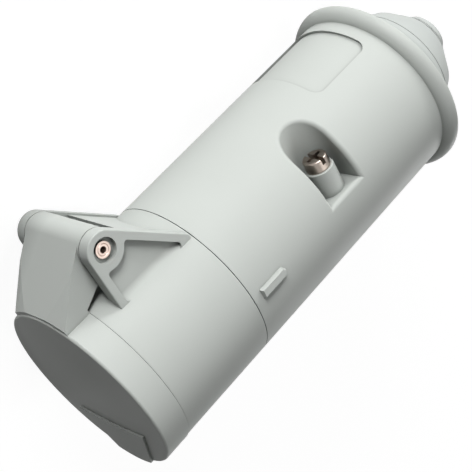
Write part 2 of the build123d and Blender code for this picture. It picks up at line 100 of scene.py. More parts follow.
@dataclass(frozen=True)
class OwnAxes:
    """The connector's own directions in the row frame.

    Along runs from the lid to the cable end, hinge towards the hinge pin and across along the pin.
    """

    mouth: float = 4.2 * MM

    @property
    def across(self) -> Vector:
        """The direction of the hinge pin, towards the ear that the camera sees."""
        return -Vector(frame["joints"][0]["axis"]).normalized()

    @property
    def along(self) -> Vector:
        """The direction from the lid to the cable end."""
        return Vector((-1.0, 0.0, 0.0))

    @property
    def hinge(self) -> Vector:
        """The direction from the connector's axis to the hinge pin."""
        return self.across.cross(self.along)

    def matrix(self) -> Matrix:
        """The turn and shift from the connector's own places to the row frame.

        Returns:
            A 4 by 4 matrix whose columns are the own directions and the lid's face centre.
        """
        turn = Matrix((self.along, self.hinge, self.across)).transposed().to_4x4()
        return Matrix.Translation((self.mouth, 0.0, 0.0)) @ turn


AXES = OwnAxes()


class NodeTree:
    """A short way to fill a shader tree with linked nodes."""

    def __init__(self, tree: bpy.types.NodeTree) -> None:
        """Keeps the tree that is filled.

        Args:
            tree: the material's, world's or group's node tree.
        """
        self.tree = tree

    def add(self, kind: str, **values: object) -> bpy.types.Node:
        """Adds a node and sets its properties and input sockets.

        Args:
            kind: the node's type name.
            values: property names, or input names with spaces written as underscores.

        Returns:
            The new node.
        """
        node = self.tree.nodes.new(kind)
        for name, value in values.items():
            if hasattr(node, name):
                setattr(node, name, value)
            else:
                node.inputs[name.replace("_", " ")].default_value = value
        return node

    def link(self, source: bpy.types.NodeSocket, target: bpy.types.NodeSocket) -> None:
        """Links one socket to another."""
        self.tree.links.new(source, target)


def shader_group(
    name: str, inputs: dict[str, float], outputs: dict[str, str], placed: bool = True
) -> bpy.types.ShaderNodeTree:
    """Makes an empty shader node group with named sockets.

    Args:
        name: the group's name.
        inputs: float inputs and their defaults.
        outputs: output names and their socket types.
        placed: whether the group also takes the place on the piece, as a vector.

    Returns:
        The group's tree.
    """
    group = bpy.data.node_groups.new(name, "ShaderNodeTree")
    if placed:
        vector = group.interface.new_socket(name="Vector", in_out="INPUT", socket_type="NodeSocketVector")
        vector.hide_value = True
    for key, value in inputs.items():
        socket = group.interface.new_socket(name=key, in_out="INPUT", socket_type="NodeSocketFloat")
        socket.default_value = value
    for key, kind in outputs.items():
        group.interface.new_socket(name=key, in_out="OUTPUT", socket_type=kind)
    return group


def grain_group() -> bpy.types.ShaderNodeTree:
    """The fine skin of a moulded surface: spark-eroded grain and slow cloudiness.

    Returns:
        A group that puts out a grain height and a cloud mask.
    """
    group = shader_group(
        "moulded_grain",
        {"Grain Scale": 4000.0, "Cloud Scale": 40.0},
        {"Height": "NodeSocketFloat", "Cloud": "NodeSocketFloat"},
    )
    nt = NodeTree(group)
    place = nt.add("NodeGroupInput")
    out = nt.add("NodeGroupOutput")
    grain = nt.add("ShaderNodeTexNoise", Detail=3.0, Roughness=0.6)
    cloud = nt.add("ShaderNodeTexNoise", Detail=2.0, Roughness=0.5)
    for noise, scale in ((grain, "Grain Scale"), (cloud, "Cloud Scale")):
        nt.link(place.outputs["Vector"], noise.inputs["Vector"])
        nt.link(place.outputs[scale], noise.inputs["Scale"])
    nt.link(grain.outputs["Fac"], out.inputs["Height"])
    nt.link(cloud.outputs["Fac"], out.inputs["Cloud"])
    return group


def lathe_group() -> bpy.types.ShaderNodeTree:
    """Fine turning marks round a piece's own axis, which lies along local Z.

    Returns:
        A group that puts out a mark height and a tint mask.
    """
    group = shader_group(
        "lathe_marks",
        {"Ring Scale": 6000.0, "Smear Scale": 400.0},
        {"Height": "NodeSocketFloat", "Tint": "NodeSocketFloat"},
    )
    nt = NodeTree(group)
    place = nt.add("NodeGroupInput")
    out = nt.add("NodeGroupOutput")
    split = nt.add("ShaderNodeSeparateXYZ")
    radius = nt.add("ShaderNodeVectorMath", operation="LENGTH")
    flat = nt.add("ShaderNodeCombineXYZ")
    nt.link(place.outputs["Vector"], split.inputs["Vector"])
    nt.link(split.outputs["X"], flat.inputs["X"])
    nt.link(split.outputs["Y"], flat.inputs["Y"])
    nt.link(flat.outputs["Vector"], radius.inputs[0])
    rings = nt.add("ShaderNodeCombineXYZ")
    nt.link(radius.outputs["Value"], rings.inputs["X"])
    nt.link(split.outputs["Z"], rings.inputs["Y"])
    marks = nt.add("ShaderNodeTexNoise", Detail=2.0)
    smear = nt.add("ShaderNodeTexNoise", Detail=3.0)
    nt.link(rings.outputs["Vector"], marks.inputs["Vector"])
    nt.link(place.outputs["Ring Scale"], marks.inputs["Scale"])
    nt.link(place.outputs["Vector"], smear.inputs["Vector"])
    nt.link(place.outputs["Smear Scale"], smear.inputs["Scale"])
    nt.link(marks.outputs["Fac"], out.inputs["Height"])
    nt.link(smear.outputs["Fac"], out.inputs["Tint"])
    return group


def painted_shade_group() -> bpy.types.ShaderNodeTree:
    """Painted shade: a moulded surface's colour darkened by ambient occlusion in a joint or a hollow, where light
    would not reach.

    Returns:
        A group that puts out the share of the colour that is left.
    """
    group = shader_group(
        "painted_nook_shade",
        {"Crevice Reach": 0.001, "Crevice Shade": 0.6, "Hollow Reach": 0.01, "Hollow Shade": 0.5},
        {"Share": "NodeSocketFloat"},
        placed=False,
    )
    nt = NodeTree(group)
    sizes = nt.add("NodeGroupInput")
    out = nt.add("NodeGroupOutput")
    both = nt.add("ShaderNodeMath", operation="MULTIPLY")
    for socket, kind in zip(both.inputs, ("Crevice", "Hollow")):
        # Ambient occlusion paints shade into the colour in joints and hollows
        painted_shade = nt.add("ShaderNodeAmbientOcclusion")
        share = nt.add("ShaderNodeMapRange")
        nt.link(sizes.outputs[kind + " Reach"], painted_shade.inputs["Distance"])
        nt.link(sizes.outputs[kind + " Shade"], share.inputs["To Min"])
        nt.link(painted_shade.outputs["AO"], share.inputs["Value"])
        nt.link(share.outputs["Result"], socket)
    nt.link(both.outputs["Value"], out.inputs["Share"])
    return group


@dataclass(frozen=True)
class MouldedFinish:
    """A moulded plastic or rubber surface."""

    name: str
    colour: tuple[float, float, float]
    shade: tuple[float, float, float]
    roughness: float = 0.42
    roughness_swing: float = 0.08
    grain_scale: float = 3800.0
    grain_depth: float = 0.00002
    grain_strength: float = 0.25
    cloud_scale: float = 45.0
    specular: float = 0.13
    # Painted shade: how far the walls of a joint or a hollow are felt, and the share of the colour left at the
    # bottom of it
    painted_crevice_reach: float = 1.2 * MM
    painted_crevice_shade: float = 0.6
    painted_hollow_reach: float = 11.0 * MM
    painted_hollow_shade: float = 0.45

    def material(
        self, grain: bpy.types.ShaderNodeTree, painted_shade: bpy.types.ShaderNodeTree
    ) -> bpy.types.Material:
        """Builds the material.

        Args:
            grain: the moulded grain group.
            painted_shade: the group of the shade painted into joints and hollows.

        Returns:
            The finished material.
        """
        material = bpy.data.materials.new(self.name)
        material.use_nodes = True
        nt = NodeTree(material.node_tree)
        shader = material.node_tree.nodes["Principled BSDF"]
        shader.inputs["Specular IOR Level"].default_value = self.specular
        place = nt.add("ShaderNodeTexCoord")
        skin = nt.add("ShaderNodeGroup", node_tree=grain)
        skin.inputs["Grain Scale"].default_value = self.grain_scale
        skin.inputs["Cloud Scale"].default_value = self.cloud_scale
        nt.link(place.outputs["Object"], skin.inputs["Vector"])
        tint = nt.add("ShaderNodeMix", data_type="RGBA")
        tint.inputs["A"].default_value = (*self.shade, 1.0)
        tint.inputs["B"].default_value = (*self.colour, 1.0)
        nt.link(skin.outputs["Cloud"], tint.inputs["Factor"])
        # Painted shade: the colour is darkened in joints and hollows
        occlusion_shade = nt.add("ShaderNodeGroup", node_tree=painted_shade)
        occlusion_shade.inputs["Crevice Reach"].default_value = self.painted_crevice_reach
        occlusion_shade.inputs["Crevice Shade"].default_value = self.painted_crevice_shade
        occlusion_shade.inputs["Hollow Reach"].default_value = self.painted_hollow_reach
        occlusion_shade.inputs["Hollow Shade"].default_value = self.painted_hollow_shade
        painted_shade_mix = nt.add("ShaderNodeMix", data_type="RGBA", blend_type="MULTIPLY")
        painted_shade_mix.inputs["Factor"].default_value = 1.0
        nt.link(tint.outputs["Result"], painted_shade_mix.inputs["A"])
        nt.link(occlusion_shade.outputs["Share"], painted_shade_mix.inputs["B"])
        nt.link(painted_shade_mix.outputs["Result"], shader.inputs["Base Color"])
        rough = nt.add("ShaderNodeMapRange")
        rough.inputs["To Min"].default_value = self.roughness - self.roughness_swing
        rough.inputs["To Max"].default_value = self.roughness + self.roughness_swing
        nt.link(skin.outputs["Cloud"], rough.inputs["Value"])
        nt.link(rough.outputs["Result"], shader.inputs["Roughness"])
        bump = nt.add("ShaderNodeBump", Strength=self.grain_strength, Distance=self.grain_depth)
        nt.link(skin.outputs["Height"], bump.inputs["Height"])
        nt.link(bump.outputs["Normal"], shader.inputs["Normal"])
        return material


@dataclass(frozen=True)
class MetalFinish:
    """A turned, drawn or plated metal surface."""

    name: str
    colour: tuple[float, float, float]
    shade: tuple[float, float, float]
    roughness: float = 0.3
    ring_scale: float = 5000.0
    smear_scale: float = 350.0
    mark_depth: float = 0.00001
    mark_strength: float = 0.2

    def material(self, group: bpy.types.ShaderNodeTree, centre: Vector, axis: Vector) -> bpy.types.Material:
        """Builds the material for one turned piece.

        Args:
            group: the lathe marks group.
            centre: a point on the piece's own axis, in the row frame.
            axis: the direction of that axis, in the row frame.

        Returns:
            The finished material.
        """
        material = bpy.data.materials.new(self.name)
        material.use_nodes = True
        nt = NodeTree(material.node_tree)
        shader = material.node_tree.nodes["Principled BSDF"]
        shader.inputs["Metallic"].default_value = 1.0
        shader.inputs["Roughness"].default_value = self.roughness
        place = nt.add("ShaderNodeTexCoord")
        marks = nt.add("ShaderNodeGroup", node_tree=group)
        marks.inputs["Ring Scale"].default_value = self.ring_scale
        marks.inputs["Smear Scale"].default_value = self.smear_scale
        lay = nt.add("ShaderNodeMapping", vector_type="TEXTURE")
        lay.inputs["Location"].default_value = centre
        lay.inputs["Rotation"].default_value = axis.to_track_quat("Z", "Y").to_euler()
        nt.link(place.outputs["Object"], lay.inputs["Vector"])
        nt.link(lay.outputs["Vector"], marks.inputs["Vector"])
        tint = nt.add("ShaderNodeMix", data_type="RGBA")
        tint.inputs["A"].default_value = (*self.shade, 1.0)
        tint.inputs["B"].default_value = (*self.colour, 1.0)
        nt.link(marks.outputs["Tint"], tint.inputs["Factor"])
        nt.link(tint.outputs["Result"], shader.inputs["Base Color"])
        bump = nt.add("ShaderNodeBump", Strength=self.mark_strength, Distance=self.mark_depth)
        nt.link(marks.outputs["Height"], bump.inputs["Height"])
        nt.link(bump.outputs["Normal"], shader.inputs["Normal"])
        return material


class Finishes:
    """The finishes of the connector, one for each slot of the record."""

    def __init__(self) -> None:
        """Builds the shared groups, the moulded materials and the metals' finishes."""
        grain = grain_group()
        painted_shade = painted_shade_group()
        self.lathe = lathe_group()
        moulded = {
            Slot.HOUSING: MouldedFinish(
                "housing_grey", colour=(0.61, 0.64, 0.61), shade=(0.58, 0.61, 0.58), roughness=0.5),
            Slot.GLAND: MouldedFinish(
                "gland_grey", colour=(0.60, 0.63, 0.60), shade=(0.57, 0.60, 0.57), roughness=0.45),
            Slot.INSERT: MouldedFinish(
                "insert_grey", colour=(0.05, 0.055, 0.06), shade=(0.04, 0.045, 0.05), roughness=0.5),
            Slot.SEAL: MouldedFinish(
                "seal_black", colour=(0.012, 0.012, 0.013), shade=(0.02, 0.02, 0.021), roughness=0.62),
            Slot.GROMMET: MouldedFinish(
                "grommet_grey", colour=(0.57, 0.60, 0.58), shade=(0.54, 0.57, 0.55), roughness=0.55),
        }
        self.metals = {
            Slot.CONTACT: MetalFinish(
                "turned_brass", colour=(0.78, 0.58, 0.28), shade=(0.70, 0.50, 0.23), roughness=0.28),
            Slot.SCREW: MetalFinish(
                "plated_steel", colour=(0.48, 0.42, 0.37), shade=(0.15, 0.12, 0.10), roughness=0.3),
            Slot.SPRING: MetalFinish(
                "drawn_wire", colour=(0.55, 0.55, 0.56), shade=(0.45, 0.45, 0.46), roughness=0.32),
            Slot.PIN: MetalFinish(
                "copper_tube", colour=(0.55, 0.45, 0.40), shade=(0.46, 0.37, 0.325), roughness=0.42),
        }
        self.moulded = {slot: finish.material(grain, painted_shade) for slot, finish in moulded.items()}

    def material(self, slot: Slot, centre: Vector, axis: Vector) -> bpy.types.Material:
        """Gives the material of a slot, laid round the piece's own axis where it is metal.

        Args:
            slot: the record's slot.
            centre: a point on the piece's axis, in the row frame.
            axis: the direction of that axis.

        Returns:
            The material.
        """
        if slot in self.moulded:
            return self.moulded[slot]
        return self.metals[slot].material(self.lathe, centre, axis)

    def dress_node(self, name: str) -> None:
        """Gives a CAD node the finish that the record names for it.

        Args:
            name: the node's name.
        """
        slot = next(s["material_slot"] for s in frame["record"]["subparts"] if s["node"] == name)
        low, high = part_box(name)
        node = frame["nodes"][name]
        node.data.materials.clear()
        node.data.materials.append(self.material(Slot(slot), (Vector(low) + Vector(high)) / 2, AXES.along))


Point = tuple[float, float]


def arc(centre: Point, radii: Point, start: float, end: float, steps: int) -> list[Point]:
    """Points on a round or oval arc of an outline.

    Args:
        centre: the arc's centre.
        radii: its half-widths along the outline's first and second direction.
        start: the first point's angle in degrees from the first direction.
        end: the last point's angle.
        steps: how many steps the arc has.

    Returns:
        The points, both ends included.
    """
    turns = [math.radians(start + (end - start) * step / steps) for step in range(steps + 1)]
    return [(centre[0] + radii[0] * math.cos(a), centre[1] + radii[1] * math.sin(a)) for a in turns]


def seal_section(place: float, surface_r: float, section_r: float, steps: int = 20) -> list[Point]:
    """The round section of a sealing ring that stands a little proud of its groove.

    Args:
        place: the ring's place along the connector.
        surface_r: the radius of the surface round the groove.
        section_r: the radius of the ring's section.
        steps: how many steps the section has.

    Returns:
        The section's points.
    """
    middle = (place, surface_r + SEAL_STAND - section_r)
    return arc(middle, (section_r, section_r), 0.0, 360.0, steps)[:-1]


class Blank:
    """A piece in the making, in millimetres in the connector's own directions."""

    def __init__(self, name: str, body: Body, slot: Slot, replaces: tuple[str, ...] = ()) -> None:
        """Keeps what the finished piece is.

        Args:
            name: the piece's name.
            body: the body that it rides on.
            slot: the record's slot that gives its finish.
            replaces: the CAD nodes that it stands for.
        """
        self.name = name
        self.body = body
        self.slot = slot
        self.replaces = replaces
        self.bm = bmesh.new()

    def outline(self, points: list[Point], closed: bool = True) -> list[bmesh.types.BMEdge]:
        """Draws an outline as edges, first direction along X and second along Y.

        Args:
            points: the outline's corners.
            closed: whether the last point joins the first.

        Returns:
            The new edges.
        """
        verts = [self.bm.verts.new((x, y, 0.0)) for x, y in points]
        pairs = list(zip(verts, verts[1:]))
        if closed:
            pairs.append((verts[-1], verts[0]))
        return [self.bm.edges.new(pair) for pair in pairs]

    def turn(self, points: list[Point], steps: int, closed: bool = True) -> None:
        """Turns an outline of (place, radius) points full round the X axis.

        Args:
            points: the outline's corners.
            steps: how many steps the turn has.
            closed: whether the outline closes, or runs from axis to axis.
        """
        edges = self.outline(points, closed)
        verts = list({v for edge in edges for v in edge.verts})
        bmesh.ops.spin(
            self.bm, geom=edges + verts, cent=(0.0, 0.0, 0.0), axis=(1.0, 0.0, 0.0), angle=2 * math.pi,
            steps=steps, use_merge=True, dvec=(0.0, 0.0, 0.0),
        )

    def place(self, matrix: Matrix) -> None:
        """Moves everything drawn so far."""
        bmesh.ops.transform(self.bm, matrix=matrix, verts=self.bm.verts)

    def finish(
        self, finishes: Finishes, centre: Vector, axis: Vector, sharp: float = 35.0
    ) -> bpy.types.Object:
        """Closes the mesh, puts it in the row frame and dresses it.

        Args:
            finishes: the connector's finishes.
            centre: a point on the piece's axis, in own millimetres.
            axis: the direction of that axis, in own directions.
            sharp: the angle in degrees past which an edge stays sharp.

        Returns:
            The finished object.
        """
        bmesh.ops.remove_doubles(self.bm, verts=self.bm.verts, dist=MERGE_GAP)
        bmesh.ops.recalc_face_normals(self.bm, faces=self.bm.faces)
        own = AXES.matrix()
        bmesh.ops.transform(self.bm, matrix=own @ Matrix.Scale(MM, 4), verts=self.bm.verts)
        mesh = bpy.data.meshes.new(self.name)
        self.bm.to_mesh(mesh)
        self.bm.free()
        mesh.shade_smooth()
        mesh.set_sharp_from_angle(angle=math.radians(sharp))
        piece = bpy.data.objects.new(self.name, mesh)
        bpy.context.scene.collection.objects.link(piece)
        mesh.materials.append(finishes.material(self.slot, own @ (centre * MM), own.to_3x3() @ axis))
        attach(piece, self.body.value)
        if self.replaces:
            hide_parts(*self.replaces)
        LOG.info("%s: %d faces", self.name, len(mesh.polygons))
        return piece


ALONG = Vector((1.0, 0.0, 0.0))
HINGEWARD = Vector((0.0, 1.0, 0.0))
ACROSS = Vector((0.0, 0.0, 1.0))
CENTRE = Vector((0.0, 0.0, 0.0))


@dataclass
class CableEnd:
    """The gland's ring, its seal and the soft nose."""

    body_end: float = 120.1
    rim_r: float = 3.9
    rim_back: float = 1.5
    rim_proud: float = 2.7
    rim_steps: int = 10
    back_angle: float = 12.0
    spigot_r: float = 23.3
    spigot_len: float = 8.0
    bore_r: float = 20.7
    lip_place: float = 126.1
    lip_r: float = 19.2
    mouth_end: float = 130.1
    mouth_w: float = 1.5
    seal_place: float = 117.7
    seal_r: float = 0.75
    groove_room: float = 0.3
    flange_r: float = 20.6
    flange_front: float = 123.6
    gap: float = 0.1
    nose_base: float = 132.4
    nose_wall: float = 2.0
    base_edge_r: float = 1.2
    base_edge_start: float = 131.8
    base_edge_angle: float = 62.0
    base_edge_steps: int = 4
    shoulder: Point = (139.0, 15.85)
    # The place and depth of each fine groove in the nose
    grooves: tuple[Point, ...] = ((133.6, 0.12), (145.3, 0.4), (146.5, 0.4))
    groove_w: float = 0.4
    cone_end: Point = (147.0, 8.5)
    collar_start: Point = (147.0, 7.4)
    collar_end: Point = (149.5, 6.8)
    tip: Point = (150.3, 5.75)
    entry_r: float = 3.6
    entry_len: float = 3.0
    steps: int = 128

    def build(self, finishes: Finishes) -> None:
        """Builds and dresses the ring, the seal and the nose.

        Args:
            finishes: the connector's finishes.
        """
        ring = Blank("gland_ring_turned", Body.HOUSING, Slot.GLAND, ("gland_ring",))
        ring.turn(self.ring_outline(), self.steps)
        ring.finish(finishes, CENTRE, ALONG)
        seal = Blank("gland_seal_ring", Body.HOUSING, Slot.SEAL, ("gland_seal",))
        seal.turn(seal_section(self.seal_place, self.spigot_r, self.seal_r), self.steps)
        seal.finish(finishes, CENTRE, ALONG)
        nose = Blank("cable_nose", Body.HOUSING, Slot.GROMMET, ("cable_grommet",))
        nose.turn(self.nose_outline(), self.steps)
        nose.finish(finishes, CENTRE, ALONG, sharp=20.0)

    def ring_outline(self) -> list[Point]:
        """The ring's section: a full rim, a dished back, the lip that holds the nose and the spigot.

        Returns:
            The outline's corners.
        """
        peak_r = BODY_R + self.rim_proud
        middle = (self.body_end + self.rim_r, peak_r - self.rim_r)
        lean = math.degrees(math.asin((BODY_R - middle[1]) / self.rim_r))
        front = arc(middle, (self.rim_r, self.rim_r), 180.0 - lean, 90.0, self.rim_steps)
        back = arc(middle, (self.rim_back, self.rim_r), 90.0, self.back_angle, self.rim_steps)
        half = self.seal_r + self.groove_room
        floor_r = self.spigot_r + SEAL_STAND - 2 * self.seal_r
        groove = [
            (self.seal_place - half, self.spigot_r), (self.seal_place - half, floor_r),
            (self.seal_place + half, floor_r), (self.seal_place + half, self.spigot_r),
        ]
        rest = [
            (self.mouth_end, self.lip_r + self.mouth_w), (self.mouth_end, self.lip_r),
            (self.lip_place, self.lip_r), (self.lip_place, self.bore_r),
            (self.body_end - self.spigot_len, self.bore_r), (self.body_end - self.spigot_len, self.spigot_r),
        ]
        face = [(self.body_end, self.spigot_r), (self.body_end, BODY_R)]
        return front + back[1:] + rest + groove + face

    def nose_outline(self) -> list[Point]:
        """The nose's section: its flange, a blunt cone with fine grooves, a collar and the cable's entry.

        Returns:
            The outline's corners.
        """
        base_r = self.lip_r - self.gap
        in_r = base_r - self.nose_wall
        seat = self.lip_place - self.gap
        entry = self.tip[0] - self.entry_len
        edge_r = self.base_edge_r
        edge = arc((self.base_edge_start, base_r - edge_r), (edge_r, edge_r), 90.0, self.base_edge_angle,
                   self.base_edge_steps)
        flank = [edge[-1], self.shoulder, self.cone_end]
        grooves = {end: [] for end in flank[1:]}
        for place, depth in self.grooves:
            end = next(corner for corner in flank[1:] if corner[0] > place)
            grooves[end] += self.groove(place, depth, flank[flank.index(end) - 1], end)
        return [
            (self.flange_front, self.flange_r), (seat, self.flange_r), (seat, base_r), *edge,
            *grooves[self.shoulder], self.shoulder, *grooves[self.cone_end], self.cone_end,
            self.collar_start, self.collar_end, self.tip, (self.tip[0], self.entry_r),
            (entry, self.entry_r), (self.shoulder[0], self.shoulder[1] - 2 * self.nose_wall),
            (self.nose_base, in_r), (self.flange_front, in_r),
        ]

    def groove(self, place: float, depth: float, start: Point, end: Point) -> list[Point]:
        """A fine square groove across a straight flank.

        Args:
            place: the groove's first edge along the connector.
            depth: the groove's depth.
            start: the flank's first corner.
            end: the flank's last corner.

        Returns:
            The groove's four corners.
        """
        slope = (end[1] - start[1]) / (end[0] - start[0])
        first = start[1] + slope * (place - start[0])
        last = first + slope * self.groove_w
        return [(place, first), (place, first - depth),
                (place + self.groove_w, last - depth), (place + self.groove_w, last)]


@dataclass
class ClampScrew:
    """A cheese-head screw with a through slot and a cross, standing on a pocket's boss."""

    place: float = 80.2
    reach: float = 19.7
    head_r: float = 3.45
    head_low: float = 9.6
    head_h: float = 3.4
    edge_r: float = 0.55
    edge_steps: int = 6
    shank_r: float = 2.0
    shank_low: float = -8.4
    # The slot runs out past both sides of the head
    slot_len: float = 10.35
    slot_w: float = 1.15
    slot_depth: float = 1.7
    cross_len: float = 4.6
    cross_w: float = 1.15
    cross_middle_w: float = 1.955
    cross_depth: float = 2.0
    slot_turn: float = 86.0
    steps: int = 72

    def build(self, finishes: Finishes, name: str, side: int) -> None:
        """Turns the screw, cuts its drive and dresses it.

        Args:
            finishes: the connector's finishes.
            name: the piece's name.
            side: plus one for the near screw, minus one for the far one.
        """
        top = self.head_low + self.head_h
        edge = arc((top - self.edge_r, self.head_r - self.edge_r), (self.edge_r, self.edge_r), 0.0, 90.0,
                   self.edge_steps)
        screw = Blank(name, Body.HOUSING, Slot.SCREW, ("clamp_screws",))
        outline = [(top, 0.0), *edge, (self.head_low, self.head_r), (self.head_low, self.shank_r),
                   (self.shank_low, self.shank_r), (self.shank_low, 0.0)]
        screw.turn(outline, self.steps, closed=False)
        bmesh.ops.remove_doubles(screw.bm, verts=screw.bm.verts, dist=MERGE_GAP)
        bmesh.ops.recalc_face_normals(screw.bm, faces=screw.bm.faces)
        for length, width, depth, turn in (
            (self.slot_len, self.slot_w, self.slot_depth, 0.0),
            (self.cross_len, self.cross_w, self.cross_depth, 90.0),
            (self.cross_middle_w, self.cross_middle_w, self.cross_depth, 45.0),
        ):
            self.cut(screw, top, (length, width, depth), turn)
        stand = Matrix.Rotation(math.radians(90.0), 4, "Z")
        twist = Matrix.Rotation(math.radians(self.slot_turn), 4, "Y")
        screw.place(Matrix.Translation((self.place, 0.0, side * self.reach)) @ twist @ stand)
        screw.finish(finishes, Vector((self.place, 0.0, side * self.reach)), HINGEWARD)

    def cut(self, screw: Blank, top: float, size: tuple[float, float, float], turn: float) -> None:
        """Cuts one straight recess in the head.

        Args:
            screw: the screw, with its axis along X.
            top: the place of the head's top face.
            size: the recess's length, width and depth.
            turn: its turn about the screw's axis, in degrees.
        """
        length, width, depth = size
        tool = bmesh.new()
        bmesh.ops.create_cube(tool, size=1.0)
        bmesh.ops.scale(tool, vec=(2 * depth, length, width), verts=tool.verts)
        bmesh.ops.translate(tool, vec=(top, 0.0, 0.0), verts=tool.verts)
        bmesh.ops.rotate(tool, cent=(0.0, 0.0, 0.0), verts=tool.verts,
                         matrix=Matrix.Rotation(math.radians(turn), 3, "X"))
        screw.bm = difference(screw.bm, tool)


def difference(body: bmesh.types.BMesh, tool: bmesh.types.BMesh) -> bmesh.types.BMesh:
    """Cuts one closed mesh out of another.

    Args:
        body: the mesh that is cut, freed afterwards.
        tool: the mesh that is taken away, freed afterwards.

    Returns:
        The cut mesh.
    """
    objects = []
    for name, bm in (("cut_body", body), ("cut_tool", tool)):
        mesh = bpy.data.meshes.new(name)
        bm.to_mesh(mesh)
        bm.free()
        objects.append(bpy.data.objects.new(name, mesh))
        bpy.context.scene.collection.objects.link(objects[-1])
    modifier = objects[0].modifiers.new("cut", "BOOLEAN")
    modifier.object = objects[1]
    modifier.operation = "DIFFERENCE"
    modifier.solver = "EXACT"
    graph = bpy.context.evaluated_depsgraph_get()
    cut = bpy.data.meshes.new_from_object(objects[0].evaluated_get(graph))
    result = bmesh.new()
    result.from_mesh(cut)
    for item in objects:
        mesh = item.data
        bpy.data.objects.remove(item)
        bpy.data.meshes.remove(mesh)
    bpy.data.meshes.remove(cut)
    return result


@dataclass
class Hinge:
    """The tubular pin, the coiled spring, and the soft coves and toes of the ears."""

    pin_place: Point = (18.75, 35.5)
    pin_r: float = 2.15
    pin_neck_r: float = 1.6
    pin_rim: float = 0.03
    pin_edge: float = 0.1
    pin_edge_steps: int = 5
    pin_ring_r: float = 1.5
    pin_ring_w: float = 0.12
    hole_r: float = 0.84
    pin_half: float = 15.2
    pin_steps: int = 64
    ear_in: float = 12.5
    coil_r: float = 3.1
    wire_r: float = 0.4
    wire_sides: int = 12
    turns: int = 4
    turn_steps: int = 48
    pitch: float = 1.1
    coil_start: float = -11.8
    bend_r: float = 0.8
    bend_steps: int = 8
    tang_len: float = 1.0
    web_face: float = 14.5
    cove_r: float = 2.6
    cove_start: float = 15.0
    cove_end: float = 37.0
    cove_sink: float = 0.15
    cove_low: float = 25.4
    ear_face: float = 16.0
    short_arm: float = 15.95
    short_toe_r: float = 1.5
    # The places along and hingeward on the long arm's underside add up to this
    long_arm_line: float = 58.21
    long_arm_slope: float = 45.0
    long_toe_r: float = 1.1
    toe_sink: float = 0.3
    fillet_steps: int = 8

    def build(self, finishes: Finishes) -> None:
        """Builds and dresses the pin, the spring, the coves and the toes.

        Args:
            finishes: the connector's finishes.
        """
        centre = Vector((*self.pin_place, 0.0))
        self.build_pin(finishes, centre)
        self.build_spring(finishes, centre)
        toe_ends = (self.web_face - self.toe_sink, self.ear_face)
        for end, side in SIDES:
            outward = Vector((0.0, 0.0, side))
            self.extrude(finishes, "ear_cove_" + end, self.cove_section(), (self.cove_start, self.cove_end),
                         outward, ALONG)
            for toe, section in (("short", self.short_toe()), ("long", self.long_toe())):
                self.extrude(finishes, f"ear_{toe}_toe_{end}", section, toe_ends, ALONG, outward)

    def build_pin(self, finishes: Finishes, centre: Vector) -> None:
        """Turns the pin: a tube with a rounded rim and a ring groove at each end, and a slight neck.

        Args:
            finishes: the connector's finishes.
            centre: the pin's middle, in own millimetres.
        """
        pin = Blank("hinge_pin_tube", Body.HOUSING, Slot.PIN, ("hinge_pin",))
        edge = self.pin_edge
        rim = self.pin_half - self.pin_rim
        groove = self.pin_ring_w
        outer = arc((self.pin_half - edge, self.pin_r - edge), (edge, edge), 90.0, 0.0, self.pin_edge_steps)
        inner = arc((self.pin_half - edge, self.hole_r + edge), (edge, edge), 0.0, -90.0,
                    self.pin_edge_steps)
        half = [
            (self.ear_in, self.pin_r), (self.ear_in + edge, self.pin_neck_r),
            (rim - edge, self.pin_neck_r), (rim, self.pin_r),
            *outer,
            (self.pin_half, self.pin_ring_r + groove), (self.pin_half - groove, self.pin_ring_r),
            (self.pin_half, self.pin_ring_r - groove),
            *inner,
        ]
        pin.turn(half + [(-s, r) for s, r in reversed(half)], self.pin_steps)
        pin.place(Matrix.Translation(centre) @ Matrix.Rotation(math.radians(-90.0), 4, "Y"))
        pin.finish(finishes, centre, ACROSS)

    def build_spring(self, finishes: Finishes, centre: Vector) -> None:
        """Winds the spring round the pin, with a bend and a tang towards the far ear.

        Args:
            finishes: the connector's finishes.
            centre: the pin's middle, in own millimetres.
        """
        spring = Blank("lid_spring_coil", Body.HOUSING, Slot.SPRING, ("lid_spring",))
        start = math.radians(-90.0)
        bmesh.ops.create_circle(spring.bm, cap_ends=False, segments=self.wire_sides, radius=self.wire_r)
        bmesh.ops.rotate(spring.bm, cent=(0.0, 0.0, 0.0), verts=spring.bm.verts,
                         matrix=Matrix.Rotation(start, 3, "X"))
        bmesh.ops.translate(spring.bm, vec=(self.coil_r, 0.0, 0.0), verts=spring.bm.verts)
        ring = list(spring.bm.edges)
        bmesh.ops.spin(
            spring.bm, geom=ring + list(spring.bm.verts), cent=(0.0, 0.0, 0.0), axis=(0.0, 0.0, 1.0),
            dvec=(0.0, 0.0, self.pitch / self.turn_steps), angle=2 * math.pi * self.turns,
            steps=self.turn_steps * self.turns, use_merge=False,
        )
        verts = list({v for edge in ring for v in edge.verts})
        bend = bmesh.ops.spin(
            spring.bm, geom=ring + verts, cent=(self.coil_r, 0.0, -self.bend_r), axis=(1.0, 0.0, 0.0),
            dvec=(0.0, 0.0, 0.0), angle=math.radians(90.0), steps=self.bend_steps, use_merge=False,
        )
        tail = [item for item in bend["geom_last"] if isinstance(item, bmesh.types.BMEdge)]
        grown = bmesh.ops.extrude_edge_only(spring.bm, edges=tail)
        moved = [item for item in grown["geom"] if isinstance(item, bmesh.types.BMVert)]
        bmesh.ops.translate(spring.bm, vec=(0.0, 0.0, -self.tang_len), verts=moved)
        bmesh.ops.remove_doubles(spring.bm, verts=spring.bm.verts, dist=MERGE_GAP)
        bmesh.ops.holes_fill(spring.bm, edges=spring.bm.edges, sides=self.wire_sides)
        lean = Matrix.Rotation(self.bend_r / self.coil_r, 4, "Z")
        spring.place(Matrix.Translation(centre + Vector((0.0, 0.0, self.coil_start))) @ lean)
        spring.finish(finishes, centre, ACROSS)

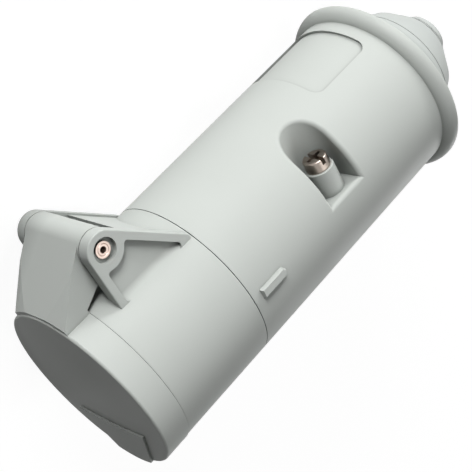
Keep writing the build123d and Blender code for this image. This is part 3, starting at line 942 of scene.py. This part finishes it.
    def cove_section(self) -> list[Point]:
        """The concave fillet between an ear's web and the housing's round, as (across, hinge) points.

        Returns:
            The section's corners.
        """
        foot = math.sqrt(BODY_R ** 2 - self.web_face ** 2)
        reach = BODY_R + self.cove_r
        middle_t = self.web_face + self.cove_r
        middle_h = math.sqrt(reach ** 2 - middle_t ** 2)
        meet = math.degrees(math.atan2(-middle_h, -middle_t))
        sunk = self.web_face - self.cove_sink
        return [
            *arc((middle_t, middle_h), (self.cove_r, self.cove_r), -180.0, meet, self.fillet_steps),
            (middle_t * self.cove_low / reach, middle_h * self.cove_low / reach),
            (sunk, foot - self.cove_sink), (sunk, middle_h),
        ]

    def short_toe(self) -> list[Point]:
        """The fillet where the short arm runs out on the housing, as (along, hinge) points.

        Returns:
            The section's corners.
        """
        foot = math.sqrt(BODY_R ** 2 - self.ear_face ** 2)
        r = self.short_toe_r
        sunk = self.short_arm - self.toe_sink
        return [*arc((self.short_arm + r, foot + r), (r, r), -180.0, -90.0, self.fillet_steps),
                (self.short_arm + r, foot - self.toe_sink), (sunk, foot - self.toe_sink), (sunk, foot + r)]

    def long_toe(self) -> list[Point]:
        """The rounded corner between the long arm's underside and the housing, as (along, hinge) points.

        Returns:
            The section's corners.
        """
        foot = math.sqrt(BODY_R ** 2 - self.ear_face ** 2)
        corner = self.long_arm_line - foot
        r = self.long_toe_r
        back = r / math.tan(math.radians(self.long_arm_slope / 2))
        return [*arc((corner - back, foot + r), (r, r), -90.0, self.long_arm_slope, self.fillet_steps),
                (corner + self.toe_sink, foot), (corner + self.toe_sink, foot - self.toe_sink),
                (corner - back, foot - self.toe_sink)]

    def extrude(
        self, finishes: Finishes, name: str, section: list[Point], ends: Point, first: Vector, run: Vector
    ) -> None:
        """Extrudes a section into a piece of the housing.

        Args:
            finishes: the connector's finishes.
            name: the piece's name.
            section: the section's corners, with the hinge direction second.
            ends: where the piece starts and ends along its run.
            first: the section's first direction.
            run: the direction that the section is extruded in.
        """
        piece = Blank(name, Body.HOUSING, Slot.HOUSING)
        face = bmesh.ops.contextual_create(piece.bm, geom=piece.outline(section))["faces"]
        grown = bmesh.ops.extrude_face_region(piece.bm, geom=face, use_keep_orig=True)
        moved = [item for item in grown["geom"] if isinstance(item, bmesh.types.BMVert)]
        bmesh.ops.translate(piece.bm, vec=(0.0, 0.0, ends[1] - ends[0]), verts=moved)
        turn = Matrix((first, HINGEWARD, run)).transposed().to_4x4()
        piece.place(Matrix.Translation(run * ends[0]) @ turn)
        piece.finish(finishes, CENTRE, ALONG)


@dataclass
class Seals:
    """The ring between the two housings and the lid's flat gasket."""

    seam_place: float = 43.65
    seam_surface: float = 23.3
    seam_section: float = 0.88
    gasket_seat: float = 2.4
    gasket_face: float = 3.9
    gasket_outer: float = 23.9
    gasket_inner: float = 20.7
    bead: float = 0.35
    # Where the beads stand, as shares of the gasket's width from its inner edge
    bead_shares: Point = (0.27, 0.66)
    bead_steps: int = 8
    steps: int = 128

    def build(self, finishes: Finishes) -> None:
        """Builds and dresses both seals.

        Args:
            finishes: the connector's finishes.
        """
        ring = Blank("seam_seal_ring", Body.HOUSING, Slot.SEAL, ("seam_seal",))
        ring.turn(seal_section(self.seam_place, self.seam_surface, self.seam_section), self.steps)
        ring.finish(finishes, CENTRE, ALONG)
        gasket = Blank("lid_gasket_beaded", Body.LID, Slot.SEAL, ("lid_gasket",))
        gasket.turn(self.gasket_outline(), self.steps)
        gasket.finish(finishes, CENTRE, ALONG)

    def gasket_outline(self) -> list[Point]:
        """The gasket's section: a flat strip with two round beads that press on the socket's mouth.

        Returns:
            The outline's corners.
        """
        flat = self.gasket_face - self.bead
        width = self.gasket_outer - self.gasket_inner
        beads = []
        for share in self.bead_shares:
            middle = (flat, self.gasket_inner + width * share)
            beads += arc(middle, (self.bead, self.bead), -90.0, 90.0, self.bead_steps)
        cut = 2 * self.bead
        return [(self.gasket_seat, self.gasket_inner), (flat, self.gasket_inner), *beads,
                (flat, self.gasket_outer - cut), (flat - cut, self.gasket_outer),
                (self.gasket_seat, self.gasket_outer)]


@dataclass(frozen=True)
class Lamp:
    """A square soft lamp: its way from the connector in own directions, metres and watts."""

    name: str
    way: tuple[float, float, float]
    far: float
    size: float
    power: float


@dataclass
class Studio:
    """The pale floor, the soft lights, the white surroundings and the camera."""

    camera_along: float = -71.01 * MM
    camera_hinge: float = 174.1 * MM
    camera_across: float = 244.65 * MM
    focal_pixels: float = 1200.0
    frame_pixels: float = 472.0
    sensor: float = 36.0
    clip_start: float = 0.01
    right: tuple[float, float, float] = (0.6297, -0.4343, 0.6441)
    up: tuple[float, float, float] = (0.6679, 0.7261, -0.1632)
    floor_size: float = 6.0
    floor_drop: float = 0.05 * MM
    floor_tone: float = 0.2
    floor_glow: float = 0.93
    world_light: float = 0.025
    middle_x: float = -70.0 * MM
    lamps: tuple[Lamp, ...] = (
        Lamp("key", way=(0.0, 0.91, 0.41), far=1.0, size=0.42, power=11.2),
        Lamp("back", way=(0.75, 0.64, 0.18), far=1.0, size=0.35, power=9.6),
        Lamp("fill", way=(0.12, -0.5, 0.86), far=1.1, size=0.7, power=2.7),
        Lamp("under", way=(0.5, -0.85, -0.12), far=1.1, size=0.3, power=1.6),
    )

    def build(self) -> None:
        """Builds everything round the connector."""
        self.build_world()
        self.build_floor()
        for lamp in self.lamps:
            self.hang(lamp)
        self.build_camera()

    def build_camera(self) -> None:
        """Sets the camera at the photograph's viewing place."""
        own = AXES.matrix()
        turn = own.to_3x3()
        right = (turn @ Vector(self.right)).normalized()
        up = (turn @ Vector(self.up)).normalized()
        back = right.cross(up).normalized()
        up = back.cross(right).normalized()
        place = own @ Vector((self.camera_along, self.camera_hinge, self.camera_across))
        data = bpy.data.cameras.new("camera")
        data.sensor_width = self.sensor
        data.lens = self.focal_pixels / self.frame_pixels * self.sensor
        data.clip_start = self.clip_start
        camera = bpy.data.objects.new("camera", data)
        bpy.context.scene.collection.objects.link(camera)
        camera.matrix_world = Matrix.Translation(place) @ Matrix((right, up, back)).transposed().to_4x4()
        bpy.context.scene.camera = camera

    def build_world(self) -> None:
        """Makes the surroundings white to the camera and a soft grey as light."""
        world = bpy.data.worlds.new("surroundings")
        world.use_nodes = True
        nt = NodeTree(world.node_tree)
        dim = world.node_tree.nodes["Background"]
        dim.inputs["Color"].default_value = (1.0, 1.0, 1.0, 1.0)
        dim.inputs["Strength"].default_value = self.world_light
        white = nt.add("ShaderNodeBackground", Strength=1.0)
        white.inputs["Color"].default_value = (1.0, 1.0, 1.0, 1.0)
        mix = nt.add("ShaderNodeMixShader")
        nt.link(self.seen_ray(nt), mix.inputs["Fac"])
        nt.link(dim.outputs["Background"], mix.inputs[1])
        nt.link(white.outputs["Background"], mix.inputs[2])
        nt.link(mix.outputs["Shader"], world.node_tree.nodes["World Output"].inputs["Surface"])
        bpy.context.scene.world = world

    def seen_ray(self, nt: NodeTree) -> bpy.types.NodeSocket:
        """A factor of one for camera, glossy and transmission rays.

        Args:
            nt: the tree that the nodes are added to.

        Returns:
            The factor's socket.
        """
        path = nt.add("ShaderNodeLightPath")
        first = nt.add("ShaderNodeMath", operation="MAXIMUM")
        second = nt.add("ShaderNodeMath", operation="MAXIMUM")
        nt.link(path.outputs["Is Camera Ray"], first.inputs[0])
        nt.link(path.outputs["Is Glossy Ray"], first.inputs[1])
        nt.link(first.outputs["Value"], second.inputs[0])
        nt.link(path.outputs["Is Transmission Ray"], second.inputs[1])
        return second.outputs["Value"]

    def build_floor(self) -> None:
        """Lays the floor just under the connector, white where no shadow falls."""
        bm = bmesh.new()
        bmesh.ops.create_grid(bm, x_segments=1, y_segments=1, size=self.floor_size / 2)
        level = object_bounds()[0][2] - self.floor_drop
        bmesh.ops.translate(bm, verts=bm.verts, vec=(0.0, 0.0, level))
        mesh = bpy.data.meshes.new("floor")
        bm.to_mesh(mesh)
        bm.free()
        floor = bpy.data.objects.new("floor", mesh)
        bpy.context.scene.collection.objects.link(floor)
        material = bpy.data.materials.new("pale_floor")
        material.use_nodes = True
        nt = NodeTree(material.node_tree)
        material.node_tree.nodes.remove(material.node_tree.nodes["Principled BSDF"])
        matt = nt.add("ShaderNodeBsdfDiffuse")
        matt.inputs["Color"].default_value = (self.floor_tone, self.floor_tone, self.floor_tone, 1.0)
        glow = nt.add("ShaderNodeEmission", Strength=self.floor_glow)
        dark = nt.add("ShaderNodeEmission", Strength=0.0)
        lift = nt.add("ShaderNodeMixShader")
        both = nt.add("ShaderNodeAddShader")
        nt.link(self.seen_ray(nt), lift.inputs["Fac"])
        nt.link(dark.outputs["Emission"], lift.inputs[1])
        nt.link(glow.outputs["Emission"], lift.inputs[2])
        nt.link(matt.outputs["BSDF"], both.inputs[0])
        nt.link(lift.outputs["Shader"], both.inputs[1])
        nt.link(both.outputs["Shader"], material.node_tree.nodes["Material Output"].inputs["Surface"])
        floor.data.materials.append(material)
        floor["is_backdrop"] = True

    def hang(self, lamp: Lamp) -> None:
        """Hangs one lamp so that it points at the connector's middle.

        Args:
            lamp: the lamp's place, size and power.
        """
        data = bpy.data.lights.new(lamp.name, "AREA")
        data.shape = "SQUARE"
        data.size = lamp.size
        data.energy = lamp.power
        item = bpy.data.objects.new(lamp.name, data)
        bpy.context.scene.collection.objects.link(item)
        heading = (AXES.matrix().to_3x3() @ Vector(lamp.way)).normalized()
        middle = Vector((self.middle_x, 0.0, 0.0))
        turn = heading.to_track_quat("Z", "Y").to_matrix().to_4x4()
        item.matrix_world = Matrix.Translation(middle + heading * lamp.far) @ turn


def main() -> None:
    """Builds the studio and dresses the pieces."""
    logging.basicConfig(level=logging.INFO, format="%(name)s: %(message)s")
    bpy.context.scene.view_settings.view_transform = "Standard"
    Studio().build()
    finishes = Finishes()
    for name in frame["nodes"]:
        finishes.dress_node(name)
        LOG.info("%s dressed", name)
    CableEnd().build(finishes)
    Hinge().build(finishes)
    Seals().build(finishes)
    for end, side in SIDES:
        ClampScrew().build(finishes, "clamp_screw_" + end, side)


if __name__ == "__main__":
    main()
